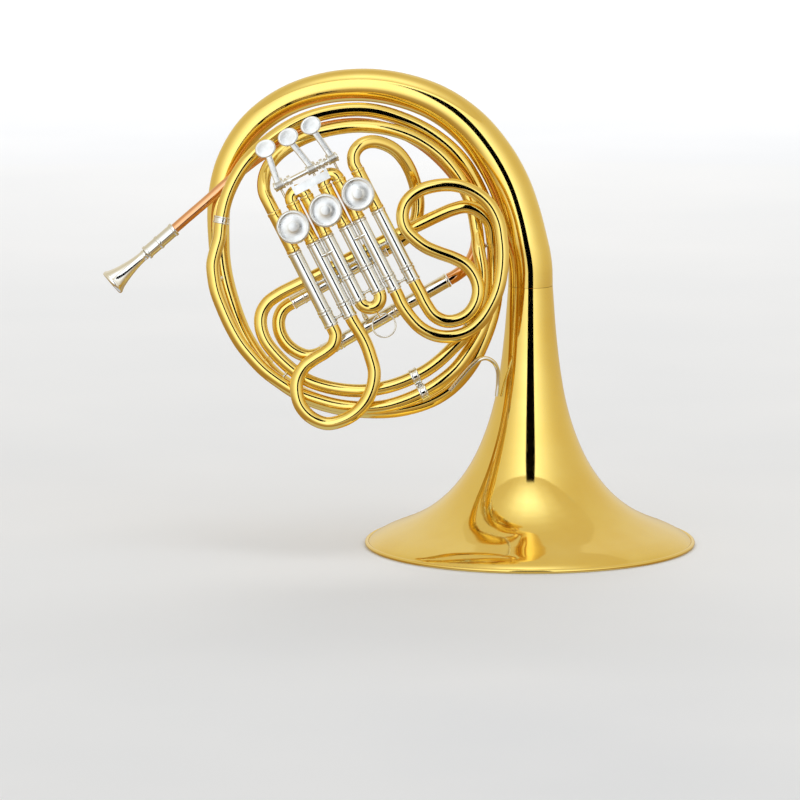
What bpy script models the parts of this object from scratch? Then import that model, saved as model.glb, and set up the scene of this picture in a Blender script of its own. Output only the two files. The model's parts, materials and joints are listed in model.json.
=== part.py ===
"""French horn in F: three rotary valves, their slides, a main tuning slide, levers and mouthpiece.

The horn stands on its bell. The bell's axis is vertical and the coiled body leans back from it.
Body pieces are laid out in millimetres in the leaning body plane: p to the right, q up the plane
and d out of it, towards the front. The origin is under the middle of the whole horn's box.
"""

import math

import bmesh
import bpy
import numpy as np
from mathutils import Vector

MM = 0.001
BELL_AXIS_X = 0.1212
LEAN = math.radians(9.5)
TUBE_SIDES = 8
BEND_SIDES = 6
CHORD_ERROR = 0.8
JOINT_LENGTH = 5.0
TIGHT_ERROR = 0.5
GAP = 0.35

BODY_R = 6.1
WALL = 0.55
SLEEVE_R = 6.4
SLEEVE_WALL = 0.5
LEG_R = 5.4
LEG_WALL = 0.55
FERRULE_R = 6.8

VALVE_ROW_ANGLE = math.radians(27)
MIDDLE_VALVE = (-190.0, 309.0)
VALVE_PITCH = 33.5
LEG_OFFSET = 9.7
SLIDE_D = 95.0
TUNING_D = 63.0
CASING_R = 15.6
CASING_HALF = 13.0
BORE_R = 13.2
ROTOR_R = 12.75
PORT_END = 20.8
HINGE_V = -40.0
HINGE_D = 102.0
LINK_D = 75.5
PIN_U = 5.975
PIN_REACH = 4.95
BELL_WALL = 0.8
BELL_SIDES = 32
STEM_TOP = 244.0
STEM_R = 20.8

FRONT = Vector((0.0, -1.0, 0.0))
ROW_U = Vector((math.cos(VALVE_ROW_ANGLE), 0.0, math.sin(VALVE_ROW_ANGLE)))
ROW_V = Vector((math.sin(VALVE_ROW_ANGLE), 0.0, -math.cos(VALVE_ROW_ANGLE)))

MATERIALS = {
    "brass": ((0.86, 0.60, 0.17, 1.0), 0.16, 1.0),
    "nickel": ((0.72, 0.71, 0.66, 1.0), 0.2, 1.0),
    "silver": ((0.86, 0.86, 0.84, 1.0), 0.12, 1.0),
    "red_brass": ((0.80, 0.50, 0.28, 1.0), 0.18, 1.0),
}

# Centre lines of the tubes, as (p, q, d), in the order of the pieces from the bell's tail inwards.
ROUTES = {
    "bell_tail": [
        (0, 241.2, 40.5), (0, 254.5, 42.7), (-1.5, 268.5, 45), (-4.5, 282.5, 47), (-10, 305.5, 48),
        (-19.5, 333.5, 48), (-34.5, 361, 48), (-56.5, 388, 48), (-86, 409.5, 47), (-121.5, 422.5, 46),
        (-156.5, 427, 46), (-195.5, 423, 46), (-230.5, 410, 46), (-260, 387, 46), (-280.5, 354.5, 46),
        (-289, 319.5, 46), (-289.5, 282.5, 46), (-287, 256.5, 46), (-279.5, 227, 46),
        (-266.5, 194.5, 46), (-248, 167.5, 46),
    ],
    "outer_branch": [
        (-247.2, 166.7, 46), (-228, 149, 46), (-203, 135, 46), (-177, 127.5, 46), (-149, 124.5, 46),
        (-121.5, 126, 46), (-93.5, 134, 46), (-73, 147, 46), (-55.5, 167.5, 46), (-43.5, 191.5, 46),
        (-35.5, 216, 46), (-32, 241, 46), (-32.5, 262, 46), (-34.5, 282.5, 45), (-38.5, 305.5, 44),
        (-47.5, 329.5, 45), (-64, 357, 53), (-87.5, 378.5, 56), (-116.5, 394, 58), (-149, 403, 61),
        (-181.5, 402, 64), (-214, 392.5, 69), (-243.5, 374, 74), (-266.5, 351, 78), (-280.5, 325, 79),
        (-286.5, 301, 78),
    ],
    "middle_branch": [
        (-286.6, 300.4, 78), (-288.5, 284.5, 78), (-292, 272, 78), (-294.5, 260, 78),
        (-293.5, 247, 78), (-291, 234.5, 78), (-285, 218.5, 78), (-277.5, 202, 78),
        (-268.5, 186.5, 78), (-258.5, 174, 78), (-247, 162, 78), (-232.5, 151, 78), (-216, 141, 78),
        (-197, 134, 78), (-177, 129, 78), (-153.5, 127, 78), (-135, 128.5, 78), (-116.5, 134, 78),
        (-100, 141.5, 78),
    ],
    "inner_branch": [
        (-99.4, 141.8, 78), (-84.5, 151, 78), (-70, 163.2, 76), (-58.8, 178, 73),
        (-48.5, 195.2, 70), (-40.5, 215, 68), (-35.5, 236, 67.5), (-34.5, 259.5, 68.5), (-35.3, 282.5, 74.5),
        (-37.5, 297, 78), (-46.5, 308, 81), (-60, 313, 82), (-73, 310.5, 81), (-86, 305, 80),
        (-110, 293.5, 79), (-134.5, 282, 78), (-174, 262, 78), (-214, 242, 78), (-233.5, 232, 78),
        (-244, 224, 78), (-249.5, 214, 78), (-250, 202, 78), (-245.5, 189, 78), (-236, 176.5, 78),
        (-223, 164, 78), (-208.5, 153.5, 78), (-191, 147, 78), (-172, 143.5, 78), (-153.5, 143, 78),
        (-135, 146, 78), (-121.5, 150, 78), (-107.5, 156, 78),
    ],
    "valve_outlet_tube": [
        (-106.9, 156.3, 78), (-96.5, 162, 78), (-84.5, 171, 78), (-73, 182, 78), (-63, 192.5, 78),
        (-54.5, 205.5, 78), (-48.5, 220.5, 78), (-45.5, 238, 78), (-45.5, 254.5, 78), (-48.2, 271.5, 77),
        (-50.2, 291.5, 69.5), (-54.5, 314, 67), (-65, 338, 66), (-81.5, 359, 66), (-104.5, 375.5, 66),
        (-130.5, 385, 66), (-156.5, 388, 66), (-177, 386.5, 66.5), (-200, 381, 68),
        (-220.5, 371.5, 72), (-234.5, 361, 78), (-243, 350, 84), (-247, 338, 89), (-246.5, 326, 93),
    ],
    "leadpipe": [
        (-336, 288, 63), (-319.5, 302.5, 63), (-302, 317.5, 63), (-277, 339.5, 63), (-249, 361.5, 62),
        (-216, 380, 57), (-181.5, 389.5, 53), (-156.5, 391, 51), (-127, 385, 49), (-102, 372.5, 49),
        (-79.5, 353, 51), (-61, 328.5, 53), (-52.5, 305.5, 52), (-49.5, 286, 51), (-52.5, 270, 56),
        (-59.5, 258, 60.5), (-70.5, 249.2, 62.7), (-76, 246.1, 63),
    ],
    "valve_inlet_tube": [
        (-134.1, 274.2, 63), (-124.5, 279, 63), (-114.5, 286.5, 63), (-107, 299.5, 63),
        (-104.5, 316.5, 64), (-107.5, 334.5, 68), (-114, 351, 74), (-124, 364, 80), (-136, 371, 85.5),
        (-148, 373, 90), (-158, 369.5, 93.5), (-163.8, 361.5, 95),
    ],
    "tuning_slide_crook": [
        (-221.5, 224.3, 63), (-225.4, 222.1, 63), (-230.3, 217.6, 63), (-233.6, 209, 63),
        (-232.6, 197.5, 63), (-226.5, 186.5, 63), (-217, 178.8, 63), (-206.5, 175.2, 63),
        (-197, 176.9, 63), (-193.1, 178.9, 63),
    ],
    "slide_bow_1": [
        (-180.8, 194, 95), (-183, 185, 95), (-190, 178.5, 95), (-200, 172.5, 95), (-210, 164.5, 95),
        (-216, 153, 95), (-216.5, 140, 95), (-212.5, 128, 95), (-203, 118, 95), (-189, 112.5, 95),
        (-174, 115.5, 95), (-162, 122.5, 95), (-153, 132.5, 95), (-147, 145.5, 95), (-145, 160, 95),
        (-148, 173, 95), (-153.5, 188, 95),
    ],
    "slide_bow_3": [
        (-119.5, 222, 95), (-111.5, 210.5, 95), (-101.5, 200.5, 95), (-88, 194, 95), (-73, 193, 95),
        (-58.5, 197.5, 95), (-46.5, 207.5, 95), (-37.5, 221, 95), (-31, 236, 95), (-27.5, 253, 95),
        (-26.5, 269.5, 95), (-27.5, 282.5, 95), (-30.5, 299, 95), (-39, 315, 95), (-53, 326.5, 95),
        (-70.5, 332.5, 95), (-89, 332, 95), (-105.5, 326.5, 95), (-116, 316, 95), (-119, 303.5, 95),
        (-115.5, 291.5, 95), (-106.5, 282, 95), (-96.5, 275, 95), (-84.5, 270, 95), (-72, 265.5, 95),
        (-61, 259.5, 95), (-53, 250, 95), (-49, 238, 95), (-50.5, 226, 95), (-57, 215, 95),
        (-67, 208.5, 95), (-78.5, 207, 95), (-89.5, 212, 95), (-97, 222, 95), (-103, 234, 95),
    ],
    "bell_brace": [
        (-75, 142.6, 55.9), (-64, 155.6, 55.9), (-54.6, 166.2, 55.9), (-48, 171.5, 55.4),
        (-41, 173, 53), (-34, 169, 49), (-30.3, 161, 44.5), (-30.1, 150, 40.5), (-31.2, 138, 38.4),
    ],
}

# Outer radius along the tail, as (share of its length, radius).
TAIL_TAPER = [(0, 20.8), (0.2, 19), (0.4, 15.8), (0.64, 12.6), (0.82, 9.6), (1, 7.7)]
# The bell's outer outline, as (height, radius), rim to stem.
BELL_OUTLINE = [
    (5, 151.5), (12, 137), (21, 115.5), (31, 96.5), (44, 80.5), (60, 66.2), (80, 53.5),
    (105, 42.7), (132, 34.2), (160, 28.7), (200, 24.1), (STEM_TOP, STEM_R),
]


def body(p, q, d):
    """A point of the body plane, in the frame of the leaning empty, in millimetres."""
    return Vector((p, -d, q))


def row(u, v, d):
    """A point placed from the middle valve: u along the valve row, v along the valve slides."""
    p, q = MIDDLE_VALVE
    return body(p, q, d) + ROW_U * u + ROW_V * v


def smooth(points, error=CHORD_ERROR, before=None, after=None):
    """A centripetal Catmull-Rom curve through the points, thinned to the fewest chords.

    `before` and `after` are the next points of the tubes that it meets, if any.
    """
    given = [np.array(point, float) for point in points]
    first = 2 * given[0] - given[1] if before is None else np.array(before, float)
    last = 2 * given[-1] - given[-2] if after is None else np.array(after, float)
    held = [first, *given, last]
    dense = []
    for a, b, c, e in zip(held, held[1:], held[2:], held[3:]):
        t1 = np.linalg.norm(b - a) ** 0.5
        t2 = t1 + np.linalg.norm(c - b) ** 0.5
        t3 = t2 + np.linalg.norm(e - c) ** 0.5
        for t in np.linspace(t1, t2, 12, endpoint=False):
            ab = (t1 - t) / t1 * a + t / t1 * b
            bc = ((t2 - t) * b + (t - t1) * c) / (t2 - t1)
            ce = ((t3 - t) * c + (t - t2) * e) / (t3 - t2)
            abc = ((t2 - t) * ab + t * bc) / t2
            bce = ((t3 - t) * bc + (t - t1) * ce) / (t3 - t1)
            dense.append(((t2 - t) * abc + (t - t1) * bce) / (t2 - t1))
    dense.append(given[-1])
    steps = [np.linalg.norm(b - a) for a, b in zip(dense, dense[1:])]
    lengths = np.cumsum([0, *steps])
    low = 0 if before is None else int(np.searchsorted(lengths, JOINT_LENGTH))
    high = len(dense) if after is None else int(np.searchsorted(lengths, lengths[-1] - JOINT_LENGTH))
    kept = thinned(dense[low:high], error)
    kept = kept if low == 0 else [dense[0], *kept]
    kept = kept if high == len(dense) else [*kept, dense[-1]]
    return [Vector(point) for point in kept]


def thinned(line, error):
    """Ramer, Douglas and Peucker's rule: drop the points that lie this near to their chord."""
    start, end = line[0], line[-1]
    along = (end - start) / max(np.linalg.norm(end - start), 1e-9)
    off = [np.linalg.norm((p - start) - along * np.dot(p - start, along)) for p in line]
    worst = int(np.argmax(off))
    if off[worst] <= error:
        return [start, end]
    return thinned(line[: worst + 1], error)[:-1] + thinned(line[worst:], error)


def mean_radius(r, sides):
    """The corner radius of a polygon whose corners and flats lie evenly about r."""
    return 2 * r / (1 + math.cos(math.pi / sides))


def ring(centre, along, r, sides):
    """The corners of one cross-section, square to `along`, turned the same way everywhere."""
    reference = FRONT if abs(along.dot(FRONT)) < 0.9 else ROW_U
    x = (reference - along * reference.dot(along)).normalized()
    y = along.cross(x)
    corner = mean_radius(r, sides)
    turns = (2 * math.pi * (k + 0.5) / sides for k in range(sides))
    return [centre + (x * math.cos(a) + y * math.sin(a)) * corner for a in turns]


def bridged(rings, closed):
    """Joins rings of equal size by quads. An open run of rings is capped at both ends."""
    sides = len(rings[0])
    points = [point for corners in rings for point in corners]
    faces = []
    for i in range(len(rings) if closed else len(rings) - 1):
        a, b = i * sides, (i + 1) % len(rings) * sides
        for k in range(sides):
            n = (k + 1) % sides
            faces.append((a + k, a + n, b + n, b + k))
    if not closed:
        faces.append(tuple(reversed(range(sides))))
        faces.append(tuple(range(len(points) - sides, len(points))))
    return points, faces


def swept(path, radii, wall=None, sides=TUBE_SIDES, ends=(None, None)):
    """A tube along a path. With a wall it is hollow and open. `ends` are the end faces' directions."""
    outer, inner = [], []
    for i, centre in enumerate(path):
        before, after = path[max(i - 1, 0)], path[min(i + 1, len(path) - 1)]
        along = (after - before).normalized()
        if i == 0 and ends[0]:
            along = ends[0]
        if i == len(path) - 1 and ends[1]:
            along = ends[1]
        outer.append(ring(centre, along, radii[i], sides))
        if wall:
            inner.append(ring(centre, along, radii[i] - wall, sides))
    if wall:
        return bridged(outer + inner[::-1], closed=True)
    return bridged(outer, closed=False)


def tube(points, r, wall=WALL, taper=None, error=CHORD_ERROR, before=None, after=None):
    """A smooth hollow tube of one radius, or of radius r changing evenly to `taper`."""
    path = smooth(points, error, before, after)
    lengths = np.cumsum([0] + [(b - a).length for a, b in zip(path, path[1:])])
    end = r if taper is None else taper
    radii = [r + (end - r) * share for share in lengths / lengths[-1]]
    return swept(path, radii, wall, BEND_SIDES, end_directions(points, before, after))


def end_directions(points, before=None, after=None):
    """The directions of a tube's two end faces, the same for both tubes of a joint."""
    start = points[1] - (points[0] if before is None else before)
    end = (points[-1] if after is None else after) - points[-2]
    return start.normalized(), end.normalized()


def turned(start, along, outline, sides=16):
    """A closed outline of (distance along the axis, radius) turned about the axis."""
    rings = [ring(start + along * t, along, r, sides) for t, r in outline]
    return bridged(rings, closed=True)


def pipe(start, end, r, wall, sides=TUBE_SIDES):
    return swept([start, end], [r, r], wall, sides)


def rod(start, end, r, sides=8):
    return swept([start, end], [r, r], None, sides)


def block(low, high):
    """A box in valve-row axes, between two (u, v, d) corners."""
    flat = [row(u, v, low[2]) for u, v in square(low, high)]
    top = [row(u, v, high[2]) for u, v in square(low, high)]
    return bridged([flat, top], closed=False)


def square(low, high):
    return [(low[0], low[1]), (high[0], low[1]), (high[0], high[1]), (low[0], high[1])]


def donut(centre, normal, major, minor, steps=16, sides=6):
    """A ring of round wire."""
    reference = FRONT if abs(normal.dot(FRONT)) < 0.9 else ROW_U
    x = (reference - normal * reference.dot(normal)).normalized()
    y = normal.cross(x)
    rings = []
    for i in range(steps):
        a = 2 * math.pi * i / steps
        out = x * math.cos(a) + y * math.sin(a)
        turn = [2 * math.pi * k / sides for k in range(sides)]
        rings.append(
            [centre + out * (major + minor * math.cos(b)) + normal * minor * math.sin(b) for b in turn]
        )
    return bridged(rings, closed=True)


def merged(shapes):
    points, faces = [], []
    for shape_points, shape_faces in shapes:
        base = len(points)
        points += shape_points
        faces += [tuple(base + k for k in face) for face in shape_faces]
    return points, faces


def material(name):
    found = bpy.data.materials.get(name)
    if found:
        return found
    colour, roughness, metallic = MATERIALS[name]
    made = bpy.data.materials.new(name)
    made.use_nodes = True
    surface = made.node_tree.nodes["Principled BSDF"]
    surface.inputs["Base Color"].default_value = colour
    surface.inputs["Roughness"].default_value = roughness
    surface.inputs["Metallic"].default_value = metallic
    return made


def add(name, shapes, finish, origin=None, parent=None):
    """One named object from closed shapes. Its origin is the point given, in body millimetres."""
    points, faces = merged(shapes)
    pivot = origin if origin is not None else Vector((0, 0, 0))
    mesh = bpy.data.meshes.new(name)
    mesh.from_pydata([(point - pivot) * MM for point in points], [], faces)
    mesh.validate()
    obj = bpy.data.objects.new(name, mesh)
    bpy.context.scene.collection.objects.link(obj)
    outward(mesh)
    mesh.shade_smooth()
    mesh.set_sharp_from_angle(angle=math.radians(46))
    mesh.materials.append(material(finish))
    obj.location = pivot * MM
    obj.parent = parent or bpy.data.objects["body_plane"]
    return obj


def outward(mesh):
    """Turns every face of the closed shapes outwards."""
    work = bmesh.new()
    work.from_mesh(mesh)
    bmesh.ops.recalc_face_normals(work, faces=work.faces)
    work.to_mesh(mesh)
    work.free()


def shape_with(obj, operation, shapes):
    """Joins shapes to an object, or cuts them from it, each by its own hidden helper."""
    for number, shape in enumerate(shapes):
        name = f"{obj.name}_{operation.lower()}_{number}"
        helper = add(name, [shape], "nickel")
        helper.hide_render = True
        helper.display_type = "WIRE"
        modifier = obj.modifiers.new(name, "BOOLEAN")
        modifier.operation = operation
        modifier.solver = "EXACT"
        modifier.object = helper


def valve_u(number):
    return (number - 2) * VALVE_PITCH


def along_slide(number, side, v, d=SLIDE_D):
    """A point on a valve slide's leg, at distance v from its valve's centre."""
    return row(valve_u(number) + side * LEG_OFFSET, v, d)


def path_of(name):
    return [body(*point) for point in ROUTES[name]]


UPPER_SLEEVE = [body(-205.2, 233.6, TUNING_D), body(-134.6, 274.0, TUNING_D)]
LOWER_SLEEVE = [body(-176.8, 188.2, TUNING_D), body(-76.6, 245.8, TUNING_D)]


def make_bell():
    """The flare and stem, a thin shell with a rolled rim that stands flat on the floor."""
    outer = [(0, 154.0), (2.6, 154.2)]
    outer += BELL_OUTLINE
    inner = [(z, r - BELL_WALL) for z, r in BELL_OUTLINE]
    inner[0] = (3.6, 150.2)
    outline = outer + inner[::-1] + [(0, 151.0)]
    shape = turned(Vector((0, 0, 0)), Vector((0, 0, 1)), outline, BELL_SIDES)
    add("bell", [shape], "brass", parent=bpy.data.objects["bell_axis"])


def make_tail():
    """The tapered tube that carries on from the stem over the top and down the left side."""
    points, after = path_of("bell_tail"), path_of("outer_branch")[1]
    path = points[:1] + smooth(points[1:], 1.0, None, after)
    lengths = np.cumsum([0] + [(b - a).length for a, b in zip(path, path[1:])])
    shares, sizes = zip(*TAIL_TAPER)
    radii = list(np.interp(lengths / lengths[-1], shares, sizes))
    add("bell_tail", [swept(path, radii, WALL, 8, end_directions(points, None, after))], "brass")


# The branches in the order of the air's way back from the bell, with their first and last radii.
BRANCHES = [("bell_tail", 0, 0), ("outer_branch", 7.5, 6.2), ("middle_branch", 6.2, 6.2),
            ("inner_branch", BODY_R, BODY_R), ("valve_outlet_tube", BODY_R, BODY_R)]


def make_branches():
    """The cylindrical loops between the tail and the valves, with the leadpipe."""
    routes = {name: path_of(name) for name, _, _ in BRANCHES}
    routes["valve_outlet_tube"] += [
        along_slide(1, -1, -PORT_END - 8), along_slide(1, -1, -PORT_END - GAP),
    ]
    names = [name for name, _, _ in BRANCHES]
    for i, (name, r, taper) in enumerate(BRANCHES[1:], start=1):
        before = routes[names[i - 1]][-2]
        after = routes[names[i + 1]][1] if i + 1 < len(names) else None
        add(name, [tube(routes[name], r, taper=taper, before=before, after=after)], "brass")
    pull = (UPPER_SLEEVE[0] - UPPER_SLEEVE[1]).normalized()
    inlet = path_of("valve_inlet_tube") + [
        along_slide(3, 1, -PORT_END - 6), along_slide(3, 1, -PORT_END - GAP),
    ]
    before = inlet[0] + pull * 10
    add("valve_inlet_tube", [tube(inlet, BODY_R, before=before)], "brass")
    leadpipe = path_of("leadpipe")
    after = leadpipe[-1] + pull * 10
    add("leadpipe", [tube(leadpipe, 4.6, taper=5.9, after=after)], "red_brass")


def make_ferrules():
    """Short nickel bands over the two joints of the widest branch."""
    joints = (("tail", "bell_tail", "outer_branch", 8.8), ("top", "outer_branch", "middle_branch", 7.7))
    for name, before, after, r in joints:
        start, along = joint(before, after)
        band = pipe(start - along * 3.4, start + along * 3.4, r, 0.45, 12)
        add(f"{name}_ferrule", [band], "nickel")


def joint(before, after):
    """Where two branches meet, and the direction there."""
    first, second = path_of(before), path_of(after)
    return (first[-1] + second[0]) / 2, (second[1] - first[-2]).normalized()


def make_mouthpiece():
    """A removable mouthpiece, its socket, and the band where the leadpipe starts."""
    rim = body(-389, 242, 63)
    along = (path_of("leadpipe")[0] - rim).normalized()
    outside = [
        (0.9, 11.9), (2.2, 12.5), (4.5, 12.0), (7, 10.4), (14, 8.3), (24, 6.1), (34, 4.8),
        (44, 4.4), (68, 3.8),
    ]
    inside = [(68, 2.9), (46, 2.6), (30, 2.3), (22, 3.6), (12, 6.6), (4, 8.6), (0.4, 9.6), (0, 10.8)]
    add("mouthpiece", [turned(rim, along, outside + inside, 14)], "silver", origin=rim)
    socket = [(43, 6.2), (43.4, 6.9), (47, 6.9), (48, 6.3), (78, 6.1), (78, 5.2), (43, 5.2)]
    add("mouthpiece_receiver", [turned(rim, along, socket, 12)], "nickel")


def make_tuning_slide():
    """The main tuning slide: outer sleeves on the body, inner legs and the crook that pull out."""
    upper, lower = UPPER_SLEEVE, LOWER_SLEEVE
    pull = (upper[0] - upper[1]).normalized()
    sleeves = add("tuning_sleeves", [pipe(*upper, SLEEVE_R, SLEEVE_WALL)], "nickel")
    middle = upper[0] - pull * 34
    across = pull.cross(FRONT).normalized()
    if across.dot(lower[0] - upper[0]) < 0:
        across = -across
    apart = (lower[0] - upper[0]).dot(across)
    post = spindle(middle, middle + across * apart, SLEEVE_R - 0.3, SLEEVE_R - 0.3)
    shape_with(sleeves, "UNION", [pipe(*lower, SLEEVE_R, SLEEVE_WALL), post])
    for name, mouth in (("upper", upper[0]), ("lower", lower[0])):
        leg = turned(mouth + pull * 18.4, -pull, leg_outline(18.4 - GAP, 77), TUBE_SIDES)
        add(f"tuning_leg_{name}", [leg], "nickel", origin=upper[0])
    crook = tube(path_of("tuning_slide_crook"), BODY_R)
    add("tuning_slide_crook", [crook], "brass", origin=upper[0])


def leg_outline(ferrule, length):
    """A slide leg: a ferrule that stays outside the sleeve, then the thinner sliding part."""
    return [
        (0, FERRULE_R), (ferrule, FERRULE_R), (ferrule, LEG_R), (length, LEG_R),
        (length, LEG_R - LEG_WALL), (0, LEG_R - LEG_WALL),
    ]


# Per valve: how far along the slide the post between its two sleeves stands.
SLEEVE_POSTS = {1: 56, 2: 54, 3: 52}
# Per valve: where its sleeves end, how long the ferrule is, and how deep the inner legs reach.
SLIDE_SIZES = {1: (83.3, 14.4, 74), 2: (63.0, 25.9, 62), 3: (80.6, 14.0, 72)}


def make_valve_slides():
    for number, (sleeve_end, ferrule, length) in SLIDE_SIZES.items():
        left, right = (
            pipe(
                along_slide(number, side, PORT_END + GAP),
                along_slide(number, side, sleeve_end),
                SLEEVE_R,
                SLEEVE_WALL,
            )
            for side in (-1, 1)
        )
        sleeves = add(f"slide_sleeves_{number}", [left], "nickel")
        shape_with(sleeves, "UNION", [right, slide_post(number, SLEEVE_POSTS[number], SLEEVE_R)])
        foot = sleeve_end + ferrule
        pivot = row(valve_u(number), sleeve_end, SLIDE_D)
        outline = leg_outline(ferrule - GAP, length)
        left, right = (
            turned(along_slide(number, side, foot), -ROW_V, outline, TUBE_SIDES) for side in (-1, 1)
        )
        legs = add(f"slide_legs_{number}", [left], "nickel", origin=pivot)
        shape_with(legs, "UNION", [right, slide_post(number, foot - 5, FERRULE_R)])
        error = TIGHT_ERROR if number == 2 else CHORD_ERROR
        bow = tube(bow_route(number, foot + GAP), BODY_R, error=error)
        add(f"slide_bow_{number}", [bow], "brass", origin=pivot)


def slide_post(number, v, r):
    """The brace between a slide's two tubes of radius r."""
    return spindle(along_slide(number, -1, v), along_slide(number, 1, v), r - 0.3, r - 0.3)


def bow_route(number, start):
    """From one leg's end to the other's. The middle slide's bow is a plain half turn."""
    lead = 4
    if number == 2:
        middle = row(0, start + 0.5, SLIDE_D)
        turns = [math.pi * k / 8 for k in range(9)]
        arc = [middle - ROW_U * LEG_OFFSET * math.cos(a) + ROW_V * LEG_OFFSET * math.sin(a) for a in turns]
        return [along_slide(2, -1, start), *arc, along_slide(2, 1, start)]
    first = [along_slide(number, -1, start), along_slide(number, -1, start + lead)]
    last = [along_slide(number, 1, start + lead), along_slide(number, 1, start)]
    return first + path_of(f"slide_bow_{number}") + last


def make_pull_ring():
    """The eye on the middle slide's bow, and the finger ring that swings in it."""
    eye = row(0, 107.6, SLIDE_D)
    shape_with(bpy.data.objects["slide_bow_2"], "UNION", [donut(eye, ROW_U, 2.2, 0.6, 12)])
    ring_centre = row(0, 118.8, SLIDE_D)
    add("pull_ring", [donut(ring_centre, FRONT, 10.8, 0.6, 18, 5)], "nickel", origin=eye)


def make_valve(number):
    """One rotary valve: casing, rotor, front bearing plate, screw cap and the stop arm behind."""
    u = valve_u(number)
    centre = row(u, 0, SLIDE_D)
    back = centre - FRONT * CASING_HALF
    depth = 2 * CASING_HALF
    ends = [(side, way) for side in (-1, 1) for way in (-1, 1)]

    casing = add(f"valve_casing_{number}", [rod(back, back + FRONT * depth, CASING_R, 18)], "brass")
    stubs = [rod(port(u, s, w, 6), port(u, s, w, PORT_END), BODY_R + 0.5, 8) for s, w in ends]
    shape_with(casing, "UNION", stubs)
    bore = rod(back + FRONT * 2.6, back + FRONT * (depth + 2), BORE_R, 18)
    journal_hole = rod(back - FRONT * 2, back + FRONT * 4, 4.4, 16)
    passages = [rod(port(u, s, w, 7), port(u, s, w, PORT_END + 2), LEG_R - 0.1, 8) for s, w in ends]
    shape_with(casing, "DIFFERENCE", [bore, journal_hole, *passages])

    journal, half = 4.0, 10.0
    outline = [
        (-14.5, journal), (-half, journal), (-half, ROTOR_R), (half, ROTOR_R), (half, journal),
        (12.9, journal),
    ]
    rotor = add(f"rotor_{number}", [capped(centre, outline, 18)], "nickel", origin=centre)
    channels = [
        swept([row(u + a, way * b, SLIDE_D) for a, b in CHANNEL], [5.0] * len(CHANNEL), None, 8)
        for way in (-1, 1)
    ]
    shape_with(rotor, "DIFFERENCE", channels)

    ring_plate = [(0, 4.5), (0, 12.7), (2.4, 12.7), (2.4, 4.5)]
    plate = turned(centre + FRONT * 10.4, FRONT, ring_plate, 14)
    add(f"valve_bearing_{number}", [plate], "brass")

    cap = [(0, 15.7), (2.2, 15.7), (3.4, 14.6), (3.4, 12.6), (2.9, 12.2)]
    add(f"valve_cap_{number}", [capped(centre + FRONT * (CASING_HALF + GAP), cap, 20)], "silver")
    make_stop_arm(number, centre)


CHANNEL = [(-11, -16), (-7, -8.6), (0, -6.5), (7, -8.6), (11, -16)]


def port(u, side, way, v):
    return row(u + side * LEG_OFFSET, way * v, SLIDE_D)


def capped(start, outline, sides):
    """A solid turned shape: the outline's first and last rings are closed flat."""
    return bridged([ring(start + FRONT * t, FRONT, r, sides) for t, r in outline], closed=False)


def make_stop_arm(number, centre):
    """The arm on the rotor's rear journal, with the pin that its link rod turns."""
    side = link_side(number)
    plate_back, plate_front = 77.6, 80.1
    hub = rod(row(valve_u(number), 0, plate_back), row(valve_u(number), 0, plate_front), 5.6, 12)
    arm = add(f"stop_arm_{number}", [hub], "nickel", origin=centre)
    u = valve_u(number) + side * PIN_REACH
    boss = rod(row(u, -PIN_REACH, plate_back + 0.2), row(u, -PIN_REACH, plate_front - 0.2), 2.6, 12)
    pin = rod(row(u, -PIN_REACH, 73.2), row(u, -PIN_REACH, plate_back + 1), 1.1, 8)
    shape_with(arm, "UNION", [boss, pin])


def link_side(number):
    """The third valve's linkage is a mirror image, to leave room for the inlet tube."""
    return -1 if number == 3 else 1


def make_link(number):
    """The rod between a lever and its rotor, with an eye at each end."""
    side = link_side(number)
    u = valve_u(number) + side * PIN_U
    far = HINGE_V - PIN_REACH
    eye_r, hole_r, half = 3.5, 2.35, 1.2
    rod_body = rod(row(u, far + eye_r - 0.6, LINK_D), row(u, -PIN_REACH - eye_r + 0.6, LINK_D), 1.2)
    link = add(f"link_rod_{number}", [rod_body], "nickel", origin=row(u, far, LINK_D))
    near_eye = [row(u, -PIN_REACH, LINK_D - half), row(u, -PIN_REACH, LINK_D + half)]
    far_eye = [row(u - half, far, LINK_D), row(u + half, far, LINK_D)]
    shape_with(link, "UNION", [rod(*near_eye, eye_r, 10), rod(*far_eye, eye_r, 10)])
    stretched = [
        [a - (b - a) * 0.5, b + (b - a) * 0.5] for a, b in (near_eye, far_eye)
    ]
    shape_with(link, "DIFFERENCE", [rod(a, b, hole_r, 10) for a, b in stretched])


PADDLE_U = {1: -23.5, 2: 0.0, 3: 23.5}
HUB_NEAR, HUB_FAR = 1.0, 11.0


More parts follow.
